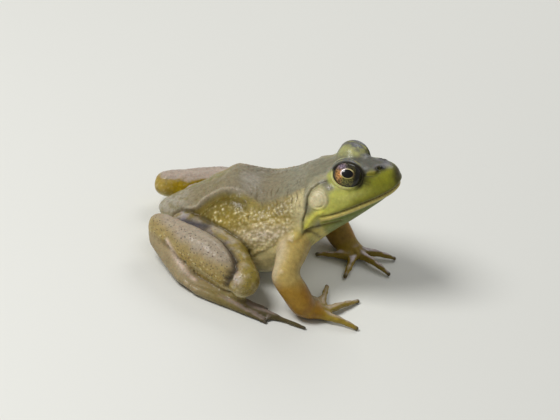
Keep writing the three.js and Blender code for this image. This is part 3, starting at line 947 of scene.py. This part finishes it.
def face_coats():
    """Grey-brown crown, yellow-green face, the dark stripe from eye to nostril, partly painted shade, and
    painted shade in the nostril.
    """
    head = on["head"]
    outer = ramp(across, 5, 8)
    yield "#78745f", head
    crown_edge = np.interp(x, (56, 60, 68, 73, 77, 80, 83), (4.1, 4.6, 5.8, 7.2, 7.5, 6.6, 5.6))
    side = head * ramp(x, 56, 60) * fall(z + 0.5 * drift - crown_edge, -0.9, 0.9)
    yield "#b0af58", side
    yield "#7b7b25", side * ramp(x + 2 * drift, 65, 74)
    yield "#767528", side * 0.7 * ramp(x, 66, 70) * fall(z + drift, 1, 4)
    yield "#6a6722", side * 0.75 * bump(mouth - 0.9, 1.0) * ramp(x, 59, 66)
    yield "#b3b06a", side * 0.5 * bump(x - 68, 5) * bump(z - 2.2, 1.2)
    crown = head * ramp(x, 62, 68) * (1 - outer * fall(z, 6.2, 7.4))
    over_edge = z + 0.3 * drift - crown_edge
    yield "#55544a", crown * ramp(over_edge, -0.4, 0.8)
    yield "#6a6870", crown * 0.7 * ramp(x, 77, 79) * ramp(over_edge, -0.2, 0.6)
    yield "#7f7f26", side * ramp(x, 77, 79.5) * ramp(z, 2, 4)
    snout = head * ramp(x + 0.6 * drift + 0.3 * (z - 3), 80.9, 83)
    yield "#3f3a10", snout * ramp(mouth, 0.4, 1.6)

    folded = one_sided(body)
    # the dark stripe from eye to nostril: partly its own colour, partly painted shade under the snout's ridge
    yield "#262109", head * 0.95 * near_line(folded, CANTHUS, 0.75)
    yield "#8b8232", head * 0.75 * near_line(folded, SNOUT_RIDGE, 0.7)
    nostril = from_point(folded, NOSTRIL)
    yield "#77747c", head * 0.7 * bump(nostril - 1.7, 0.7) * ramp(z, 6.8, 7.8)
    # painted shade in and around the nostril's opening
    yield "#2c2917", head * 0.85 * near_line(folded, NOSTRIL_SLOT, 1.5)
    yield "#0c0a06", head * near_line(folded, NOSTRIL_SLOT, 1.05)


def jaw_coats():
    """Cream lower lip, green throat darkened partly as painted shade, cream underside and the dark line of the
    mouth.
    """
    head = on["head"]
    jaw = head * np.maximum(ramp(x, 56.5, 58), ramp(-z, 8, 10))
    below_lip = -mouth - np.interp(x, (56, 66, 83), (1.7, 1.4, 0.9))
    yield "#c6b76c", jaw * ramp(-mouth, 0.1, 0.35)
    # green throat: partly its own colour, darkened as painted shade
    yield "#66712a", jaw * ramp(below_lip, 0, 0.7)
    yield "#8b8a3c", jaw * ramp(below_lip, 0.4, 1) * fall(x, 57, 63)
    # lower on the throat, also darkened partly as painted shade
    yield "#76803e", jaw * ramp(below_lip, 2.5, 5.5)
    under = ramp(x, 49, 52) * fall(x, 56.5, 58.5) * ramp(-z, 6.5, 8) * ramp(across, 7, 10)
    yield "#c2b56a", under * (head + on["trunk"])
    yield "#c6c090", jaw * ramp(-up_facing + 0.1 * drift, 0.5, 0.85)
    yield "#4a3517", jaw * 0.85 * bump(mouth, 0.28)


def ear_coats():
    """Tan ear drum with a pale rim, the fold over it, and the folds where the jaws meet."""
    outer = ramp(across, 5, 8)
    flat = body[:, [0, 2]]
    drum = np.hypot(x - DRUM_IN_BODY[0], z - DRUM_IN_BODY[1])
    rim = drum - DRUM_RADIUS
    yield "#a8a27a", outer * (on["head"] + on["trunk"]) * fall(rim, 0, 1.2)
    yield "#c3b995", outer * fall(rim, -0.3, 0.1)
    yield "#9f946c", outer * 0.7 * bump(rim + 0.1, 0.3)
    yield "#a89c74", outer * 0.5 * ramp(patches, 0.1, 0.4) * fall(drum, 1.6, 2.8)
    yield "#bdb955", outer * 0.95 * near_line(flat, LIP_FOLD, 1.9)
    yield "#5a4f22", outer * 0.7 * near_line(flat, JAW_CREASE, 0.5)
    fold, side_of_fold = line_distance(flat, EAR_FOLD)
    down_to_arm = ramp(z, -8, -5)
    yield "#a9a180", outer * down_to_arm * 0.5 * bump(fold * side_of_fold + 1.0, 0.7)
    yield "#3d3720", outer * down_to_arm * 0.8 * bump(fold, 0.3)


def collar_coats():
    """A pale bulge over the arm, darker along the folds beside it, and painted shade in the neck's hollow."""
    bulge, edge, hollow, fold = collar_folds(body)
    yield "#bdae68", 0.75 * bulge
    yield "#765f2c", 0.6 * edge
    yield "#453a18", 0.75 * fold
    # painted shade in the neck's hollow
    yield "#4a3b1a", 0.8 * hollow


def eyelid_coats():
    """Grey lids above and pale yellow-green ones inside, painted shade before the eye and under the upper
    lid's edge, with a pale rim below.
    """
    for eye in EYES:
        far, outside, ahead, rise = eye.seen_from(surface.points)
        on_ball = fall(far, EYE_RADIUS + 0.7, EYE_RADIUS + 1.9)
        upper = on_ball * ramp(rise, -0.1, 0.3)
        lower = on_ball * fall(rise, -0.1, 0.3)
        inner = on_ball * ramp(-out_facing, -0.1, 0.45)
        before = on_ball * ramp(normals[:, 0], 0.25, 0.65) * fall(up_facing, 0.7, 0.9)
        yield "#5b5a50", upper
        yield "#a6a56c", inner
        # painted shade on the lids' forward faces
        yield "#4a4d22", 0.9 * before * ramp(-out_facing, -0.3, 0.1)
        yield "#5f5f5e", on_ball * ramp(up_facing + 0.05 * patches, 0.84, 0.94)
        yield "#c0c07e", 0.5 * inner * ramp(clouds(surface.points, 0.9, 4.4), 0.25, 0.45)
        yield "#a3a35a", lower * ramp(-ahead, -0.5, 0.5)
        yield "#c5c084", lower * bump(outside - 0.42, 0.4) * ramp(-ahead, -0.7, 0.1)
        # painted shade in front of the eye, between ball and lid
        yield "#322e15", on_ball * bump(outside - 0.4, 1.4) * ramp(ahead, 0.5, 0.9)
        # painted shadow cast by the upper lid's edge
        yield "#2a271c", upper * bump(outside - 0.05, 0.32)
        yield "#5d5b4e", 0.7 * upper * bump(outside - UPPER_LID - 0.2, 0.35)


tone = np.tile(linear("#8a7f57"), (len(surface.points), 1))
skin_coats = [trunk_coats, leg_coats, arm_coats, tip_coats]
skin_coats += [face_coats, jaw_coats, ear_coats, collar_coats, eyelid_coats]
for coats in skin_coats:
    tone = painted(tone, coats())
tone = surface.spread(tone, 1, 0.4)
grey = tone.mean(1)[:, None]
deeper = (1.12 - 0.07 * on["head"])[:, None]
tone = np.clip(grey + deeper * (tone - grey), 0.004, 1)  # water on the skin deepens its colours
outer_face = ramp(out_facing, -0.1, 0.4)
flecks = (on["shank"] + 0.7 * on["thigh"]) * (0.3 + 0.7 * outer_face) + 0.4 * on["tarsus"] + 0.45 * back


def add_attribute(mesh, name, values):
    if values.ndim == 2:
        layer = mesh.attributes.new(name, "FLOAT_COLOR", "POINT")
        opaque = np.concatenate([values, np.ones((len(values), 1))], 1)
        layer.data.foreach_set("color", opaque.astype(np.float32).ravel())
    else:
        layer = mesh.attributes.new(name, "FLOAT", "POINT")
        layer.data.foreach_set("value", values.astype(np.float32))


surface.points += VENT
surface.points *= MM
surface.store()
add_attribute(skin_mesh, "tone", tone)
add_attribute(skin_mesh, "flecks", np.clip(flecks, 0, 1))
skin_mesh.shade_smooth()
skin = add_object("skin", skin_mesh)


# ---------- materials ----------
MULTIPLY = {"data_type": "RGBA", "blend_type": "MULTIPLY", 0: 1.0}  # of colours
TIMES = {"operation": "MULTIPLY"}  # of numbers


def add_node(material, kind, settings=None, links=None):
    """Adds a shader node with its settings, and links its inputs to sockets or to nodes' first outputs."""
    tree = material.node_tree
    node = tree.nodes.new("ShaderNode" + kind)
    for key, value in (settings or {}).items():
        if isinstance(key, str) and hasattr(node, key) and key not in node.inputs:
            setattr(node, key, value)
        else:
            node.inputs[key].default_value = value
    for key, source in (links or {}).items():
        socket = source if isinstance(source, bpy.types.NodeSocket) else source.outputs[0]
        tree.links.new(socket, node.inputs[key])
    return node


def new_material(name):
    material = bpy.data.materials.new(name)
    material.use_nodes = True
    material.node_tree.nodes.clear()
    return material


def per_mm(size):
    """A pattern's scale, from the size of one of its lumps in millimetres."""
    return 1 / (size * MM)


def wet_skin():
    """Living frog skin under a film of water: soft and slightly see-through below, glossy on top."""
    m = new_material("wet_frog_skin")
    tone = add_node(m, "Attribute", {"attribute_name": "tone"}).outputs["Color"]
    flecks = add_node(m, "Attribute", {"attribute_name": "flecks"}).outputs["Fac"]
    where = add_node(m, "TexCoord").outputs["Object"]
    # cloudy pigment under the surface, in lumps of 1.6 mm, which also makes the gloss uneven
    noise_in = {"Scale": per_mm(1.6), "Detail": 4.0, "Roughness": 0.65}
    mottle = add_node(m, "TexNoise", noise_in, {"Vector": where}).outputs["Fac"]
    span = {"From Min": 0.3, "From Max": 0.7}
    bright = add_node(m, "MapRange", {**span, "To Min": 0.8, "To Max": 1.18}, {"Value": mottle})
    shine = add_node(m, "MapRange", {**span, "To Min": 0.62, "To Max": 0.42}, {"Value": mottle})
    toned = add_node(m, "Mix", MULTIPLY, {6: tone, 7: bright})
    # dark pigment spots with ragged edges, 0.85 mm apart, each with its own strength
    ragged = add_node(m, "TexNoise", {"Scale": per_mm(0.5), "Detail": 1.0}, {"Vector": where})
    by_half_mm = {"operation": "MULTIPLY_ADD", 1: (0.5 * MM,) * 3}
    shifted = add_node(m, "VectorMath", by_half_mm, {0: ragged.outputs["Color"], 2: where})
    dots = add_node(m, "TexVoronoi", {"Scale": per_mm(0.85)}, {"Vector": shifted})
    edge = {"From Min": 0.38, "From Max": 0.15, "To Max": 0.85}
    dot = add_node(m, "MapRange", edge, {"Value": dots.outputs["Distance"]})
    strong = add_node(m, "MapRange", {"From Min": 0.15, "From Max": 0.6}, {"Value": dots.outputs["Color"]})
    spot = add_node(m, "Math", TIMES, {0: dot, 1: strong})
    spot = add_node(m, "Math", TIMES, {0: spot, 1: flecks})
    pigment = {"data_type": "RGBA", 7: (*linear("#4e423a"), 1)}
    colour = add_node(m, "Mix", pigment, {0: spot, 6: toned.outputs[2]})
    # pores of half a millimetre, too fine for the mesh
    pores = add_node(m, "TexNoise", {"Scale": per_mm(0.45), "Detail": 3.0}, {"Vector": where})
    raised = add_node(m, "Bump", {"Strength": 0.5, "Distance": 0.12 * MM}, {"Height": pores.outputs["Fac"]})
    flesh = {"IOR": 1.4, "Specular IOR Level": 0.3, "Subsurface Weight": 0.1, "Subsurface Scale": 1.5 * MM}
    water = {"Coat Weight": 0.38, "Coat Roughness": 0.16, "Coat IOR": 1.33}
    links = {"Base Color": colour.outputs[2], "Roughness": shine}
    links |= {"Normal": raised, "Coat Normal": raised}
    shader = add_node(m, "BsdfPrincipled", {**flesh, **water}, links)
    add_node(m, "OutputMaterial", {}, {"Surface": shader})
    return m


skin_mesh.materials.clear()
skin_mesh.materials.append(wet_skin())
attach(skin, "root")
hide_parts(*[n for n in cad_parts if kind_of(n) != "eye"])

# ---------- eyeballs ----------
PUPIL = (0.383, 0.285)  # half its width and height, in eye radii


def eye_surface():
    """A clear wet cornea over a dark olive iris veined with black, and a bright ring round the pupil."""
    m = new_material("wet_cornea_over_iris")
    place = add_node(m, "UVMap", {"uv_map": "iris"})
    tone = add_node(m, "Attribute", {"attribute_name": "tone"}).outputs["Color"]
    ring = add_node(m, "Attribute", {"attribute_name": "ring"}).outputs["Color"]
    # veins about half a millimetre wide, as the map runs over one eye radius
    veins = add_node(m, "TexNoise", {"Scale": 10.0, "Detail": 5.0, "Distortion": 0.7}, {"Vector": place})
    contrast = {"From Min": 0.4, "From Max": 0.6, "To Min": 0.3, "To Max": 1.45}
    vein = add_node(m, "MapRange", contrast, {"Value": veins.outputs["Fac"]})
    veined = add_node(m, "Mix", MULTIPLY, {6: tone, 7: vein})
    oval = add_node(m, "Mapping", {"Scale": (1, PUPIL[0] / PUPIL[1], 1)}, {"Vector": place})
    reach = add_node(m, "VectorMath", {"operation": "LENGTH"}, {0: oval}).outputs["Value"]
    in_pupil = add_node(m, "MapRange", {"From Min": PUPIL[0], "From Max": PUPIL[0] - 0.02}, {"Value": reach})
    apart = add_node(m, "Math", {"operation": "SUBTRACT", 1: PUPIL[0] + 0.025}, {0: reach})
    wide = add_node(m, "Math", {"operation": "ABSOLUTE"}, {0: apart})
    on_ring = add_node(m, "MapRange", {"From Min": 0.07, "From Max": 0.015}, {"Value": wide})
    ringed = add_node(m, "Mix", {"data_type": "RGBA"}, {0: on_ring, 6: veined.outputs[2], 7: ring})
    black = {"data_type": "RGBA", 7: (*linear("#070406"), 1)}
    colour = add_node(m, "Mix", black, {0: in_pupil, 6: ringed.outputs[2]})
    cornea = {"Coat Weight": 1.0, "Coat Roughness": 0.03, "Coat IOR": 1.34}
    iris = {"Roughness": 0.5, "Specular IOR Level": 0.1}
    shader = add_node(m, "BsdfPrincipled", {**iris, **cornea}, {"Base Color": colour.outputs[2]})
    add_node(m, "OutputMaterial", {}, {"Surface": shader})
    return m


def iris_coats(ahead, up):
    """Rust low at the rear of the iris, a painted reflection at the upper rear, painted shade under the lid
    and in front, and dark at the rim.
    """
    yield "#80602c", ramp(-ahead, 0.15, 0.5)
    yield "#b8824a", 1.2 * bump(ahead + 0.5, 0.16) * bump(up + 0.15, 0.3)
    # painted reflection: a smoky lilac patch at the upper rear
    yield "#7b6c78", 1.2 * bump(ahead + 0.42, 0.34) * bump(up - 0.45, 0.24)
    yield "#67662f", 0.7 * bump(ahead, 0.3) * bump(up + 0.5, 0.16)
    # painted shadow of the upper lid, at the top
    yield "#1c1a0e", 0.8 * ramp(up, 0.25, 0.5) * ramp(ahead, -0.3, 0)
    # painted shade in front, where the lid's corner shades the ball
    yield "#15130a", ramp(ahead, 0.36, 0.56)
    yield "#160f08", ramp(np.hypot(ahead, up), 0.7, 0.84)


def ring_coats(ahead, up):
    """The pupil's bright edge, palest at its upper rear."""
    turn = np.arctan2(up / PUPIL[1], ahead / PUPIL[0])
    yield "#c4b780", ramp(np.sin(turn), 0.1, 0.8)
    yield "#ecd8d4", ramp(np.cos(turn - 2.7), 0.4, 0.9)
    yield "#5e4c30", ramp(np.cos(turn), 0.6, 1)


def make_eyeball(eye):
    ball = bmesh.new()
    bmesh.ops.create_uvsphere(ball, u_segments=96, v_segments=64, radius=EYE_RADIUS * MM)
    layer = ball.loops.layers.uv.new("iris")
    for face in ball.faces:
        face.smooth = True
        for loop in face.loops:
            p = loop.vert.co / (EYE_RADIUS * MM)
            loop[layer].uv = p.xy if p.z > 0 else p.xy * 2  # keeps the iris off the back of the ball
    ahead, up = (np.array([vert.co[k] for vert in ball.verts]) / (EYE_RADIUS * MM) for k in (0, 1))
    turn = Matrix((eye.ahead, eye.up, eye.out)).transposed().to_4x4()
    middle = Vector((eye.middle + VENT) * MM)
    bmesh.ops.transform(ball, matrix=Matrix.Translation(middle) @ turn, verts=ball.verts)
    bmesh.ops.recalc_face_normals(ball, faces=ball.faces)
    mesh = finished_mesh(ball, f"eyeball_{eye.name}")
    for name, ground, coats in (("tone", "#544f22", iris_coats), ("ring", "#a0965c", ring_coats)):
        plain = np.tile(linear(ground), (len(ahead), 1))
        add_attribute(mesh, name, painted(plain, coats(ahead, up)))
    return add_object(f"eyeball_{eye.name}", mesh)


eye_material = eye_surface()
for eye in EYES:
    eyeball = make_eyeball(eye)
    eyeball.data.materials.append(eye_material)
    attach(eyeball, "root")
    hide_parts(f"eye_{eye.name}")

# ---------- floor and light ----------
FLOOR_HALF = 6  # half the floor's width, in metres
sheet = bmesh.new()
bmesh.ops.create_grid(sheet, x_segments=1, y_segments=1, size=FLOOR_HALF)
floor = add_object("floor", finished_mesh(sheet, "floor"))
floor.location.z = cad_box[0][2]
paper = new_material("pale_paper")  # matt, a little warm
matt = add_node(paper, "BsdfPrincipled", {"Base Color": (*linear("#dcdcd6"), 1), "Roughness": 0.9})
add_node(paper, "OutputMaterial", {}, {"Surface": matt})
floor.data.materials.append(paper)


LAMP_AIM = Vector((0, 0, 0.02))
WORLD_LIGHT = 0.29


def add_lamp(name, where, size, power):
    data = bpy.data.lights.new(name, "AREA")
    data.shape = "DISK"
    data.size = size
    data.energy = power
    lamp = add_object(name, data)
    lamp.location = where
    lamp.rotation_euler = (LAMP_AIM - lamp.location).to_track_quat("-Z", "Y").to_euler()


add_lamp("key", Vector((-0.45, -0.32, 0.7)), 0.34, 6.2)
add_lamp("rim", Vector((0.1, 0.55, 0.5)), 0.4, 1.4)
world = bpy.data.worlds.new("studio")
bpy.context.scene.world = world
world.use_nodes = True
sky = world.node_tree.nodes["Background"].inputs
sky["Color"].default_value = (1, 1, 1, 1)
sky["Strength"].default_value = WORLD_LIGHT
bpy.context.scene.view_settings.view_transform = "Standard"
